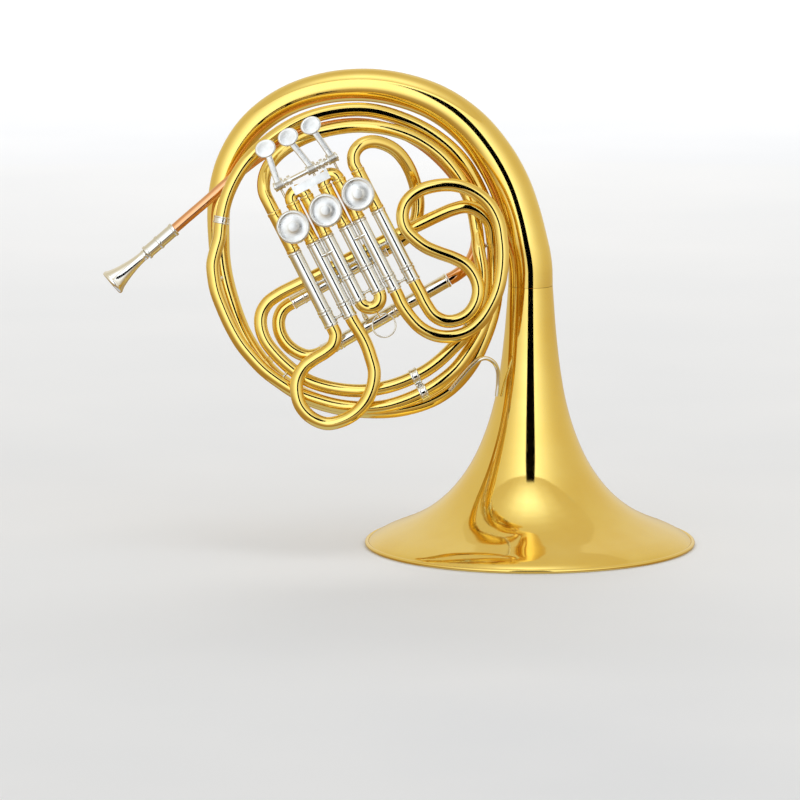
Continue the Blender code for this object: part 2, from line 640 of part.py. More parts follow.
def make_lever(number):
    """A finger lever: hub on the hinge rod, arm and finger plate, and the drop arm to the link."""
    side = link_side(number)
    u = valve_u(number)
    ends = sorted((u + side * HUB_NEAR, u + side * HUB_FAR))
    pivot = row(u, HINGE_V, HINGE_D)
    hub = rod(row(ends[0], HINGE_V, HINGE_D), row(ends[1], HINGE_V, HINGE_D), 4.4, 12)
    lever = add(f"lever_{number}", [hub], "silver", origin=pivot)

    hub_middle = sum(ends) / 2
    plate_u, plate_v = PADDLE_U[number], -76.0
    arm = bent_bar(
        [row(hub_middle, HINGE_V - 3.4, 102.6), row((hub_middle + plate_u) / 2, -58, 103.4),
         row(plate_u, plate_v + 6, 104.2)], 3.0, 1.5)
    plate = finger_plate(plate_u, plate_v, 104.6)
    drop_u = u + side * 9.5
    foot = row(drop_u, HINGE_V - PIN_REACH, LINK_D + 0.2)
    drop = bent_bar([row(drop_u, HINGE_V - 0.8, HINGE_D - 3.2), foot], 1.5, 1.9)
    pin = rod(foot, row(u + side * 4.0, HINGE_V - PIN_REACH, LINK_D + 0.2), 1.1, 8)
    shape_with(lever, "UNION", [arm, plate, drop, pin])
    hole = rod(row(ends[0] - 1, HINGE_V, HINGE_D), row(ends[1] + 1, HINGE_V, HINGE_D), 2.75, 12)
    shape_with(lever, "DIFFERENCE", [hole])


def bent_bar(path, half_width, half_depth):
    """A flat bar along a path, its width square to the path and its depth towards the front."""
    rings = []
    for i, point in enumerate(path):
        along = (path[min(i + 1, len(path) - 1)] - path[max(i - 1, 0)]).normalized()
        level = ROW_V if abs(along.dot(FRONT)) > 0.7 else FRONT
        deep = (level - along * level.dot(along)).normalized()
        wide = along.cross(deep)
        corners = ((-1, -1), (1, -1), (1, 1), (-1, 1))
        rings.append([point + wide * a * half_width + deep * b * half_depth for a, b in corners])
    return bridged(rings, closed=False)


def finger_plate(u, v, d):
    """An oval finger plate, a little narrower underneath."""
    across, deep, thick = 9.8, 8.2, 2.0
    rings = []
    for level, scale in ((0, 0.9), (0.8, 1), (thick, 0.96)):
        turns = (2 * math.pi * k / 14 for k in range(14))
        rings.append([
            row(u + across * scale * math.cos(a), v + deep * scale * math.sin(a), d + level) for a in turns
        ])
    return bridged(rings, closed=False)


def make_hinge():
    """The rod that carries the three levers, its saddle on the crossovers, and the springs."""
    reach = VALVE_PITCH - 0.4
    shaft = rod(row(-reach, HINGE_V, HINGE_D), row(reach, HINGE_V, HINGE_D), 2.35, 12)
    add("hinge_rod", [shaft], "nickel")
    post_u, half = VALVE_PITCH / 2, 1.5
    low, top = 101.9, 103.9
    saddle = add("lever_saddle", [block((-post_u - 1.4, -33, low), (post_u + 1.4, -25, top))], "nickel")
    for side in (-1, 1):
        middle = side * post_u
        tongue = block((middle - half, -40, low + 0.2), (middle + half, -26, top - 0.3))
        eye = rod(row(middle - half, HINGE_V, HINGE_D), row(middle + half, HINGE_V, HINGE_D), 4.6, 14)
        shape_with_side(saddle, "UNION", [tongue, eye], side)
    hole = rod(row(-reach, HINGE_V, HINGE_D), row(reach, HINGE_V, HINGE_D), 2.7, 12)
    shape_with(saddle, "DIFFERENCE", [hole])
    for number in (1, 2, 3):
        add(f"lever_spring_{number}", [coil(number)], "nickel")


def coil(number):
    """Two turns of spring wire around the hinge rod, just outside the lever's hub."""
    side = link_side(number)
    steps, turns, wire = 8, 2, 0.4
    path = []
    for k in range(steps * turns + 1):
        a = 2 * math.pi * k / steps
        at = valve_u(number) + side * (HUB_FAR + 1.0 + 1.2 * k / steps)
        path.append(row(at, HINGE_V, HINGE_D) + (FRONT * math.cos(a) + ROW_V * math.sin(a)) * 3.4)
    rings = []
    for i, centre in enumerate(path):
        along = (path[min(i + 1, len(path) - 1)] - path[max(i - 1, 0)]).normalized()
        deep = (ROW_U - along * ROW_U.dot(along)).normalized()
        wide = along.cross(deep)
        turn = [2 * math.pi * k / 5 for k in range(5)]
        rings.append([centre + (deep * math.cos(a) + wide * math.sin(a)) * wire for a in turn])
    return bridged(rings, closed=False)


def shape_with_side(obj, operation, shapes, side):
    """As shape_with, with names of their own for the helpers of each side."""
    name = obj.name
    obj.name = f"{name}_{'left' if side < 0 else 'right'}"
    shape_with(obj, operation, shapes)
    obj.name = name


def make_crossovers():
    """Tight bows that carry the air from one valve to the next."""
    radius = (VALVE_PITCH - 2 * LEG_OFFSET) / 2
    start = PORT_END + GAP
    for left in (1, 2):
        middle = row(valve_u(left) + VALVE_PITCH / 2, -start - 0.4, SLIDE_D)
        turns = [math.pi * k / 8 for k in range(9)]
        arc = [middle - ROW_U * radius * math.cos(a) - ROW_V * radius * math.sin(a) for a in turns]
        ends = [along_slide(left, 1, -start), along_slide(left + 1, -1, -start)]
        bow = tube([ends[0], *arc, ends[1]], BODY_R, error=TIGHT_ERROR)
        add(f"crossover_{left}_{left + 1}", [bow], "brass")


def make_braces():
    """The bow brace to the bell, the collar brace, and small spindle braces between tubes."""
    wire = smooth(path_of("bell_brace"), 0.3)
    bell_brace = swept(wire, [2.0] * len(wire), None, 6)
    add("bell_brace", [bell_brace], "nickel")

    inner, inner_along = joint("inner_branch", "valve_outlet_tube")
    outer, outer_along = joint("middle_branch", "inner_branch")
    collars = [
        pipe(at - along * 3.8, at + along * 3.8, 8.0, 0.9, 12)
        for at, along in ((inner, inner_along), (outer, outer_along))
    ]
    collar_brace = add("collar_brace", [collars[0]], "nickel")
    across = (outer - inner).normalized()
    post = rod(inner + across * 7.5, outer - across * 7.5, 1.3, 8)
    shape_with(collar_brace, "UNION", [collars[1], post])

    for left in (1, 2):
        ends = [along_slide(left, 1, 33), along_slide(left + 1, -1, 33)]
        post = spindle(*ends, SLEEVE_R + GAP, SLEEVE_R + GAP)
        add(f"sleeve_brace_{left}_{left + 1}", [post], "nickel")
    clear = BODY_R + 1.0
    post = spindle(body(-222.4, 163.4, 78), body(-233.2, 151.4, 78), clear, clear + 0.5)
    add("branch_brace", [post], "nickel")


def spindle(start, end, clear_start, clear_end):
    """A small turned post between two tubes, thicker at its feet."""
    along = (end - start).normalized()
    length = (end - start).length - clear_start - clear_end
    foot = min(1.0, length / 5)
    outline = [(0, 2.4), (foot, 1.9), (length / 2, 1.2), (length - foot, 1.9), (length, 2.4)]
    rings = [ring(start + along * (clear_start + t), along, r, 8) for t, r in outline]
    return bridged(rings, closed=False)


def clear_scene():
    for obj in list(bpy.data.objects):
        bpy.data.objects.remove(obj, do_unlink=True)


def add_frame():
    """Two empties: the bell's upright axis, and the body plane that leans back from it."""
    for name, lean in (("bell_axis", 0.0), ("body_plane", -LEAN)):
        empty = bpy.data.objects.new(name, None)
        empty.location.x = BELL_AXIS_X
        empty.rotation_euler.x = lean
        bpy.context.scene.collection.objects.link(empty)


def main():
    clear_scene()
    add_frame()
    make_bell()
    make_tail()
    make_branches()
    make_ferrules()
    make_mouthpiece()
    make_tuning_slide()
    make_valve_slides()
    make_pull_ring()
    for number in (1, 2, 3):
        make_valve(number)
        make_link(number)
        make_lever(number)
    make_hinge()
    make_crossovers()
    make_braces()


main()
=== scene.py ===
"""A French horn standing on its bell: fine surfaces, finishes, light and camera.

Lengths here are in millimetres unless a name says otherwise. The coiled body leans back from the
bell's upright axis, so its pieces are placed in a leaning plane: p to the right, q up the plane and
d out of it, towards the front.
"""

import json
import math

import bmesh
import bpy
import numpy as np
from mathutils import Matrix, Vector


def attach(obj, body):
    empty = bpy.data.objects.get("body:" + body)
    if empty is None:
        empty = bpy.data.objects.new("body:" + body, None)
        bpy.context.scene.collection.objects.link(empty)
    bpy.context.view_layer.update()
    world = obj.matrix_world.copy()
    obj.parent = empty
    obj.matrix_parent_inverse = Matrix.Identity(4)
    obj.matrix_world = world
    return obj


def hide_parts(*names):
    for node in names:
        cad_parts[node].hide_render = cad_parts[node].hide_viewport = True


MM = 0.001
BELL_AXIS_X = 121.2
LEAN = math.radians(9.5)

# Tubes: outer radii, the bore of the slides' sleeves, walls, and the gap between pieces.
BODY_R = 6.1
SLEEVE_R = 6.4
SLEEVE_BORE = 5.9
LEG_R = 5.4
WALL = 0.55
BELL_WALL = 0.8
BAND_WALL = 0.35
GAP = 0.35

# How far out of the leaning plane each layer lies.
TUNING_D = 63.0
LINK_D = 75.5
MAIN_D = 78.0
SLIDE_D = 95.0
HINGE_D = 102.0

# The row of valves, and what every valve shares: its ports, casing, lever's hinge and link's pins.
VALVES = (1, 2, 3)
VALVE_ROW_ANGLE = math.radians(27)
MIDDLE_VALVE = (-190.0, 309.0)
VALVE_PITCH = 33.5
LEG_OFFSET = 9.7
PORT_END = 20.8
CASING_HALF = 13.0
BORE_R = 13.2
HINGE_V = -40.0
HINGE_ROD_R = 2.35
HUB_NEAR, HUB_FAR = 1.0, 11.0
PIN_U = 5.975
PIN_REACH = 4.95
PIN_R = 1.1
# By valve: where its finger plate is, and its slide's sleeve end, ferrule, inner legs and post.
PADDLE_U = {1: -23.5, 2: 0.0, 3: 23.5}
SLIDE_SIZES = {
    1: (83.3, 14.4, 74, 56),
    2: (63.0, 25.9, 62, 54),
    3: (80.6, 14.0, 72, 52),
}

FRONT = Vector((0.0, -1.0, 0.0))
UP = Vector((0.0, 0.0, 1.0))
ROW_U = Vector((math.cos(VALVE_ROW_ANGLE), 0.0, math.sin(VALVE_ROW_ANGLE)))
ROW_V = Vector((math.sin(VALVE_ROW_ANGLE), 0.0, -math.cos(VALVE_ROW_ANGLE)))
TO_WORLD = (
    Matrix.Scale(MM, 4) @ Matrix.Translation((BELL_AXIS_X, 0, 0)) @ Matrix.Rotation(-LEAN, 4, "X")
)

# Light that the metal mirrors: in front, to the sides and from below.
WHITE = (1.5, 1.58, 1.66)
WARM = (0.72, 0.63, 0.44)
UNDER = (0.42, 0.28, 0.11)
SCREEN_RADIUS_M = 2.6
SCREEN_HEIGHTS_M = (-3.0, -1.5, -0.6, -0.2, 0.1, 0.4, 0.8, 1.2, 1.6, 2.0, 2.4, 2.8, 3.2)
CEILING_M = 3.25
CEILING_STEPS_M = (-2.6, -2.1, -1.6, -1.1, -0.6, -0.1, 0.4, 1.0, 1.8, 2.6)
# The dark slot in front of the bell, as (half width, height) at its two ends.
SLOT_ENDS_M = ((0.16, 0.05), (0.105, 0.94))
SLOT_DISTANCE_M = 0.65

# Each light: its place, size and power in watts, and what it points at.
HORN_MIDDLE_M = (0.0, 0.0, 0.22)
SOFTBOXES = {
    "left_softbox": ((-2.6, -3.3, 2.6), (2.4, 2.4), 9, HORN_MIDDLE_M),
    "right_softbox": ((2.8, -3.3, 2.6), (2.4, 2.4), 15, HORN_MIDDLE_M),
    "top_softbox": ((0.3, -0.4, 3.2), (1.2, 1.2), 12, HORN_MIDDLE_M),
    "back_softbox": ((0.0, 5.6, 4.0), (8.0, 3.0), 285, (0.0, 5.6, 0.0)),
}
WORLD_STRENGTH = 0.58
FLOOR_REACH_M = 40.0

CAMERA_DISTANCE_M = 8.0
FRAME_WIDTH_M = 0.741
FRAME_CENTRE = (-121.3, 134.3, 70)

# Centre lines of the tubes, as (p, q, d).
ROUTES = {
    "bell_tail": [
        (0, 241.2, 40.5), (0, 254.5, 42.7), (-1.5, 268.5, 45), (-4.5, 282.5, 47), (-10, 305.5, 48),
        (-19.5, 333.5, 48), (-34.5, 361, 48), (-56.5, 388, 48), (-86, 409.5, 47), (-121.5, 422.5, 46),
        (-156.5, 427, 46), (-195.5, 423, 46), (-230.5, 410, 46), (-260, 387, 46), (-280.5, 354.5, 46),
        (-289, 319.5, 46), (-289.5, 282.5, 46), (-287, 256.5, 46), (-279.5, 227, 46),
        (-266.5, 194.5, 46), (-248, 167.5, 46),
    ],
    "outer_branch": [
        (-247.2, 166.7, 46), (-228, 149, 46), (-203, 135, 46), (-177, 127.5, 46), (-149, 124.5, 46),
        (-121.5, 126, 46), (-93.5, 134, 46), (-73, 147, 46), (-55.5, 167.5, 46), (-43.5, 191.5, 46),
        (-35.5, 216, 46), (-32, 241, 46), (-32.5, 262, 46), (-34.5, 282.5, 45), (-38.5, 305.5, 44),
        (-47.5, 329.5, 45), (-64, 357, 53), (-87.5, 378.5, 56), (-116.5, 394, 58), (-149, 403, 61),
        (-181.5, 402, 64), (-214, 392.5, 69), (-243.5, 374, 74), (-266.5, 351, 78), (-280.5, 325, 79),
        (-286.5, 301, 78),
    ],
    "middle_branch": [
        (-286.6, 300.4, 78), (-288.5, 284.5, 78), (-292, 272, 78), (-294.5, 260, 78),
        (-293.5, 247, 78), (-291, 234.5, 78), (-285, 218.5, 78), (-277.5, 202, 78),
        (-268.5, 186.5, 78), (-258.5, 174, 78), (-247, 162, 78), (-232.5, 151, 78), (-216, 141, 78),
        (-197, 134, 78), (-177, 129, 78), (-153.5, 127, 78), (-135, 128.5, 78), (-116.5, 134, 78),
        (-100, 141.5, 78),
    ],
    "inner_branch": [
        (-99.4, 141.8, 78), (-84.5, 151, 78), (-70, 163.2, 76), (-58.8, 178, 73),
        (-48.5, 195.2, 70), (-40.5, 215, 68), (-35.5, 236, 67.5), (-34.5, 259.5, 68.5),
        (-35.3, 282.5, 74.5), (-37.5, 297, 78), (-46.5, 308, 81), (-60, 313, 82), (-73, 310.5, 81),
        (-86, 305, 80), (-110, 293.5, 79), (-134.5, 282, 78), (-174, 262, 78), (-214, 242, 78),
        (-233.5, 232, 78), (-244, 224, 78), (-249.5, 214, 78), (-250, 202, 78), (-245.5, 189, 78),
        (-236, 176.5, 78), (-223, 164, 78), (-208.5, 153.5, 78), (-191, 147, 78), (-172, 143.5, 78),
        (-153.5, 143, 78), (-135, 146, 78), (-121.5, 150, 78), (-107.5, 156, 78),
    ],
    "valve_outlet_tube": [
        (-106.9, 156.3, 78), (-96.5, 162, 78), (-84.5, 171, 78), (-73, 182, 78), (-63, 192.5, 78),
        (-54.5, 205.5, 78), (-48.5, 220.5, 78), (-45.5, 238, 78), (-45.5, 254.5, 78), (-48.2, 271.5, 77),
        (-50.2, 291.5, 69.5), (-54.5, 314, 67), (-65, 338, 66), (-81.5, 359, 66), (-104.5, 375.5, 66),
        (-130.5, 385, 66), (-156.5, 388, 66), (-177, 386.5, 66.5), (-200, 381, 68),
        (-220.5, 371.5, 72), (-234.5, 361, 78), (-243, 350, 84), (-247, 338, 89), (-246.5, 326, 93),
    ],
    "leadpipe": [
        (-336, 288, 63), (-319.5, 302.5, 63), (-302, 317.5, 63), (-277, 339.5, 63), (-249, 361.5, 62),
        (-216, 380, 57), (-181.5, 389.5, 53), (-156.5, 391, 51), (-127, 385, 49), (-102, 372.5, 49),
        (-79.5, 353, 51), (-61, 328.5, 53), (-52.5, 305.5, 52), (-49.5, 286, 51), (-52.5, 270, 56),
        (-59.5, 258, 60.5), (-70.5, 249.2, 62.7), (-76, 246.1, 63),
    ],
    "valve_inlet_tube": [
        (-134.1, 274.2, 63), (-124.5, 279, 63), (-114.5, 286.5, 63), (-107, 299.5, 63),
        (-104.5, 316.5, 64), (-107.5, 334.5, 68), (-114, 351, 74), (-124, 364, 80), (-136, 371, 85.5),
        (-148, 373, 90), (-158, 369.5, 93.5), (-163.8, 361.5, 95),
    ],
    "tuning_slide_crook": [
        (-221.5, 224.3, 63), (-225.4, 222.1, 63), (-230.3, 217.6, 63), (-233.6, 209, 63),
        (-232.6, 197.5, 63), (-226.5, 186.5, 63), (-217, 178.8, 63), (-206.5, 175.2, 63),
        (-197, 176.9, 63), (-193.1, 178.9, 63),
    ],
    "slide_bow_1": [
        (-180.8, 194, 95), (-183, 185, 95), (-190, 178.5, 95), (-200, 172.5, 95), (-210, 164.5, 95),
        (-216, 153, 95), (-216.5, 140, 95), (-212.5, 128, 95), (-203, 118, 95), (-189, 112.5, 95),
        (-174, 115.5, 95), (-162, 122.5, 95), (-153, 132.5, 95), (-147, 145.5, 95), (-145, 160, 95),
        (-148, 173, 95), (-153.5, 188, 95),
    ],
    "slide_bow_3": [
        (-119.5, 222, 95), (-111.5, 210.5, 95), (-101.5, 200.5, 95), (-88, 194, 95), (-73, 193, 95),
        (-58.5, 197.5, 95), (-46.5, 207.5, 95), (-37.5, 221, 95), (-31, 236, 95), (-27.5, 253, 95),
        (-26.5, 269.5, 95), (-27.5, 282.5, 95), (-30.5, 299, 95), (-39, 315, 95), (-53, 326.5, 95),
        (-70.5, 332.5, 95), (-89, 332, 95), (-105.5, 326.5, 95), (-116, 316, 95), (-119, 303.5, 95),
        (-115.5, 291.5, 95), (-106.5, 282, 95), (-96.5, 275, 95), (-84.5, 270, 95), (-72, 265.5, 95),
        (-61, 259.5, 95), (-53, 250, 95), (-49, 238, 95), (-50.5, 226, 95), (-57, 215, 95),
        (-67, 208.5, 95), (-78.5, 207, 95), (-89.5, 212, 95), (-97, 222, 95), (-103, 234, 95),
    ],
    "bell_brace": [
        (-75, 142.6, 55.9), (-64, 155.6, 55.9), (-54.6, 166.2, 55.9), (-48, 171.5, 55.4),
        (-41, 173, 53), (-34, 169, 49), (-30.3, 161, 44.5), (-30.1, 150, 40.5), (-31.2, 138, 38.4),
    ],
}

# The wide tail's outer radius, by how far along it is.
TAIL_TAPER = [(0, 20.8), (0.2, 19), (0.4, 15.8), (0.64, 12.6), (0.82, 9.6), (1, 7.7)]
# The bell's outer outline above its rim, as (height, radius).
BELL_OUTLINE = [
    (3.5, 150.3), (6.2, 147.2), (12, 136.8), (21, 115.3), (31, 96.8), (44, 80.3), (60, 66.0),
    (80, 53.2), (105, 42.3), (132, 34.2), (160, 28.9), (200, 24.1), (244.3, 20.8),
]
# The bead rolled over the rim's wire, from outside to inside.
BEAD = [
    (2.9, 150.7), (3.4, 150.9), (3.9, 151.5), (4.05, 152.2), (3.8, 153.1), (3.1, 153.8), (2.1, 154.1),
    (1.1, 153.8), (0.4, 153.1), (0.02, 152.1), (0.3, 151.0), (1.0, 150.2), (1.8, 149.8),
]
# The tuning slide's sleeves, each from its open end to its fixed end, as (p, q).
UPPER_SLEEVE = ((-205.2, 233.6), (-134.6, 274.0))
LOWER_SLEEVE = ((-176.8, 188.2), (-76.6, 245.8))

MOUTHPIECE_RIM = (-389.0, 242.0, TUNING_D)
# The mouthpiece's outside and inside, as (distance from its rim, radius).
MOUTHPIECE_OUTSIDE = [
    (0.0, 10.6), (0.25, 11.5), (1.0, 12.2), (2.2, 12.5), (3.4, 12.3), (4.4, 11.6), (5.6, 11.0),
    (8, 10.0), (14, 8.2), (20, 6.9), (27, 5.6), (33, 4.9), (38, 4.5), (40, 4.7), (41, 5.0),
    (42, 4.7), (42.6, 4.4), (68, 3.8),
]
MOUTHPIECE_INSIDE = [
    (68, 2.9), (46, 2.6), (30, 2.3), (22, 3.6), (12, 6.6), (4, 8.6), (1.2, 9.2), (0.3, 9.8),
]
RECEIVER_START, RECEIVER_END = 43, 78

# Small braces: their ends, how far each foot stands from its tube's axis, and their body.
SMALL_BRACES = {
    "left_branch_brace": ((-293.6, 247, 78), (-284.6, 247, 52), 5.4, 8.4, "horn_body"),
    "right_branch_brace": ((-47.5, 277, 75), (-35.4, 277, 73), 5.2, 5.2, "horn_body"),
    "slide_3_brace": ((-57.2, 197.8, 95), (-63.6, 210.4, 95), 5.4, 5.4, "valve_slide_3"),
}
BRANCH_BRACE = ((-222.4, 163.4, MAIN_D), (-233.2, 151.4, MAIN_D))

# Each metal: its name, light and deep tint, tarnish, roughness and lacquer.
METALS = {
    "brass": (
        "lacquered_brass", (0.91, 0.71, 0.215), (0.89, 0.67, 0.18), (0.30, 0.13, 0.02), 0.06, 0.5),
    "nickel": (
        "nickel_silver", (0.88, 0.88, 0.86), (0.80, 0.80, 0.78), (0.20, 0.18, 0.15), 0.08, 0.0),
    "silver": (
        "silver_plate", (0.91, 0.91, 0.90), (0.84, 0.84, 0.83), (0.25, 0.24, 0.22), 0.09, 0.0),
    "satin": (
        "satin_nickel", (0.88, 0.88, 0.87), (0.80, 0.80, 0.79), (0.30, 0.28, 0.25), 0.34, 0.0),
    "red_brass": (
        "rose_brass", (0.90, 0.50, 0.28), (0.82, 0.42, 0.22), (0.30, 0.13, 0.06), 0.08, 0.4),
}
PAPER_TINTS = [(0.3, (0.80, 0.81, 0.825)), (0.7, (0.83, 0.835, 0.845))]


def body(p, q, d):
    """A point of the leaning plane."""
    return Vector((p, -d, q))


def row(u, v, d):
    """A point placed from the middle valve: u along the valve row, v along the valve slides."""
    p, q = MIDDLE_VALVE
    return body(p, q, d) + ROW_U * u + ROW_V * v


def valve_u(number):
    return (number - 2) * VALVE_PITCH


def link_side(number):
    """The third valve's linkage is a mirror image of the others."""
    return -1 if number == 3 else 1


def along_slide(number, side, v, d=SLIDE_D):
    return row(valve_u(number) + side * LEG_OFFSET, v, d)


def path_of(name):
    return [body(*point) for point in ROUTES[name]]


def heading(path, i):
    """The way a path runs at its point i."""
    return (path[min(i + 1, len(path) - 1)] - path[max(i - 1, 0)]).normalized()


def shares_along(path):
    """How far along the path each of its points lies, from 0 to 1."""
    lengths = np.cumsum([0] + [(b - a).length for a, b in zip(path, path[1:])])
    return lengths / lengths[-1]


def full_turn(count):
    return [2 * math.pi * k / count for k in range(count)]


def half_turn():
    return [math.pi * k / 16 for k in range(17)]


def square_to(along):
    """Two directions at right angles to `along`, chosen the same way everywhere."""
    reference = FRONT if abs(along.dot(FRONT)) < 0.9 else ROW_U
    x = (reference - along * reference.dot(along)).normalized()
    return x, along.cross(x)


def smooth(points, error=0.04, before=None, after=None):
    """A centripetal Catmull-Rom curve through the points, thinned to the fewest chords."""
    given = [np.array(point, float) for point in points]
    first = 2 * given[0] - given[1] if before is None else np.array(before, float)
    last = 2 * given[-1] - given[-2] if after is None else np.array(after, float)
    held = [first, *given, last]
    dense = []
    for a, b, c, e in zip(held, held[1:], held[2:], held[3:]):
        t1 = np.linalg.norm(b - a) ** 0.5
        t2 = t1 + np.linalg.norm(c - b) ** 0.5
        t3 = t2 + np.linalg.norm(e - c) ** 0.5
        for t in np.linspace(t1, t2, 16, endpoint=False):
            ab = (t1 - t) / t1 * a + t / t1 * b
            bc = ((t2 - t) * b + (t - t1) * c) / (t2 - t1)
            ce = ((t3 - t) * c + (t - t2) * e) / (t3 - t2)
            abc = ((t2 - t) * ab + t * bc) / t2
            bce = ((t3 - t) * bc + (t - t1) * ce) / (t3 - t1)
            dense.append(((t2 - t) * abc + (t - t1) * bce) / (t2 - t1))
    dense.append(given[-1])
    return [Vector(point) for point in thinned(dense, error)]


def thinned(line, error):
    """Ramer, Douglas and Peucker's rule: drop the points that lie this near to their chord."""
    start, end = line[0], line[-1]
    along = (end - start) / max(np.linalg.norm(end - start), 1e-9)
    off = [np.linalg.norm((p - start) - along * np.dot(p - start, along)) for p in line]
    worst = int(np.argmax(off))
    if off[worst] <= error:
        return [start, end]
    return thinned(line[: worst + 1], error)[:-1] + thinned(line[worst:], error)


def ring(centre, along, r, sides):
    """The corners of one cross-section, square to `along`."""
    x, y = square_to(along)
    return [centre + x * (math.cos(a) * r) + y * (math.sin(a) * r) for a in full_turn(sides)]


def bridged(rings, closed):
    """Joins rings of equal size by quads. An open run of rings is capped at both ends."""
    sides = len(rings[0])
    points = [point for corners in rings for point in corners]
    faces = []
    for i in range(len(rings) if closed else len(rings) - 1):
        a, b = i * sides, (i + 1) % len(rings) * sides
        for k in range(sides):
            n = (k + 1) % sides
            faces.append((a + k, a + n, b + n, b + k))
    if not closed:
        faces.append(tuple(reversed(range(sides))))
        faces.append(tuple(range(len(points) - sides, len(points))))
    return points, faces


def swept(path, radii, wall=None, sides=28, ends=(None, None)):
    """A tube along a path, hollow and open if it has a wall. `ends` set its end directions."""
    outer, inner = [], []
    for i, centre in enumerate(path):
        along = heading(path, i)
        if i == 0 and ends[0]:
            along = ends[0]
        if i == len(path) - 1 and ends[1]:
            along = ends[1]
        outer.append(ring(centre, along, radii[i], sides))
        if wall:
            inner.append(ring(centre, along, radii[i] - wall, sides))
    if wall:
        return bridged(outer + inner[::-1], closed=True)
    return bridged(outer, closed=False)


def tube(points, r, taper=None, before=None, after=None):
    """A smooth hollow tube of one radius, or of radius r changing evenly to `taper`."""
    path = smooth(points, before=before, after=after)
    start = points[1] - (points[0] if before is None else before)
    end = (points[-1] if after is None else after) - points[-2]
    last = r if taper is None else taper
    radii = [r + (last - r) * share for share in shares_along(path)]
    return swept(path, radii, WALL, ends=(start.normalized(), end.normalized()))


def turned(start, along, outline, sides=40, closed=True):
    """An outline of (distance along the axis, radius) turned about the axis."""
    rings = [ring(start + along * t, along, r, sides) for t, r in outline]
    return bridged(rings, closed)


def rod(start, end, r, sides=24, edge=0.25):
    """A solid round bar with slightly broken edges."""
    along = (end - start).normalized()
    length = (end - start).length
    edge = min(edge, length / 3, r / 3)
    outline = [(0, r - edge), (edge, r), (length - edge, r), (length, r - edge)]
    return turned(start, along, outline, sides, closed=False)


def donut(centre, normal, major, minor, steps=48, sides=16):
    """A ring of round wire."""
    x, y = square_to(normal)
    rings = []
    for a in full_turn(steps):
        out = x * math.cos(a) + y * math.sin(a)
        rings.append([
            centre + out * (major + minor * math.cos(b)) + normal * minor * math.sin(b)
            for b in full_turn(sides)
        ])
    return bridged(rings, closed=True)


def banded(start, end, r, inner, bands, band_length=2.6, rise=0.45):
    """A sleeve with a rounded band at each place named in `bands`: 0 is its start, 1 its end."""
    along = (end - start).normalized()
    length = (end - start).length
    outline = [(0.0, r)]
    for place in sorted(bands):
        low = min(max(place * length - band_length / 2, 0.0), length - band_length)
        if low > 1:
            outline.append((low - 0.5, r))
        shoulder = ((0.0, 0.0), (0.25, 0.75), (0.7, 1.0))
        outline += [(low + t, r + rise * lift) for t, lift in shoulder]
        outline += [(low + band_length - t, r + rise * lift) for t, lift in reversed(shoulder)]
        if low + band_length < length - 1:
            outline.append((low + band_length + 0.5, r))
    outline += [(length, r), (length, inner), (0.0, inner)]
    return turned(start, along, outline, 32)


def spindle(start, end, clear_start, clear_end, waist=1.1, foot_r=2.6):
    """A small turned post between two tubes, with flared feet and a bead at its middle."""
    along = (end - start).normalized()
    length = (end - start).length - clear_start - clear_end
    shape = (
        (0, foot_r), (0.1, foot_r * 0.86), (0.2, waist * 1.25), (0.36, waist), (0.44, waist * 1.1),
        (0.5, waist * 1.5), (0.56, waist * 1.1), (0.64, waist), (0.8, waist * 1.25),
        (0.9, foot_r * 0.86), (1, foot_r),
    )
    outline = [(clear_start + t * length, r) for t, r in shape]
    return turned(start, along, outline, 24, closed=False)


def merged(shapes):
    """Several shapes as one list of points and one of faces."""
    points, faces = [], []
    for shape_points, shape_faces in shapes:
        base = len(points)
        points += shape_points
        faces += [tuple(base + k for k in face) for face in shape_faces]
    return points, faces


# ---- finishes ----

def math_node(tree, operation, a, b):
    """A math node on socket a and number b, kept between 0 and 1."""
    node = tree.nodes.new("ShaderNodeMath")
    node.operation = operation
    node.use_clamp = True
    tree.links.new(a, node.inputs[0])
    node.inputs[1].default_value = b
    return node.outputs[0]


def noise(tree, coordinates, scale, detail, stretch=None):
    """A noise texture's value, drawn out or squeezed by `stretch`."""
    node = tree.nodes.new("ShaderNodeTexNoise")
    node.inputs["Scale"].default_value = scale
    node.inputs["Detail"].default_value = detail
    if stretch:
        mapping = tree.nodes.new("ShaderNodeMapping")
        mapping.inputs["Scale"].default_value = stretch
        tree.links.new(coordinates, mapping.inputs["Vector"])
        coordinates = mapping.outputs["Vector"]
    tree.links.new(coordinates, node.inputs["Vector"])
    return node.outputs["Fac"]


def ramp(tree, value, stops):
    node = tree.nodes.new("ShaderNodeValToRGB")
    elements = node.color_ramp.elements
    while len(elements) < len(stops):
        elements.new(0.5)
    for element, (place, colour) in zip(elements, stops):
        element.position = place
        element.color = (*colour, 1.0)
    tree.links.new(value, node.inputs["Fac"])
    return node.outputs["Color"]


def mix(tree, factor, a, b):
    """From colour socket a to colour b, by a factor socket."""
    node = tree.nodes.new("ShaderNodeMix")
    node.data_type = "RGBA"
    tree.links.new(factor, node.inputs[0])
    tree.links.new(a, node.inputs[6])
    node.inputs[7].default_value = (*b, 1.0)
    return node.outputs[2]


def spread(tree, value, low, high):
    """Noise, which stays near the middle, spread from low to high."""
    node = tree.nodes.new("ShaderNodeMapRange")
    node.inputs["From Min"].default_value = 0.3
    node.inputs["From Max"].default_value = 0.7
    node.inputs["To Min"].default_value = low
    node.inputs["To Max"].default_value = high
    tree.links.new(value, node.inputs["Value"])
    return node.outputs["Result"]


def new_material(name):
    """A new material, its node tree, its shader and its object coordinates."""
    made = bpy.data.materials.new(name)
    made.use_nodes = True
    tree = made.node_tree
    place = tree.nodes.new("ShaderNodeTexCoord").outputs["Object"]
    return made, tree, tree.nodes["Principled BSDF"], place


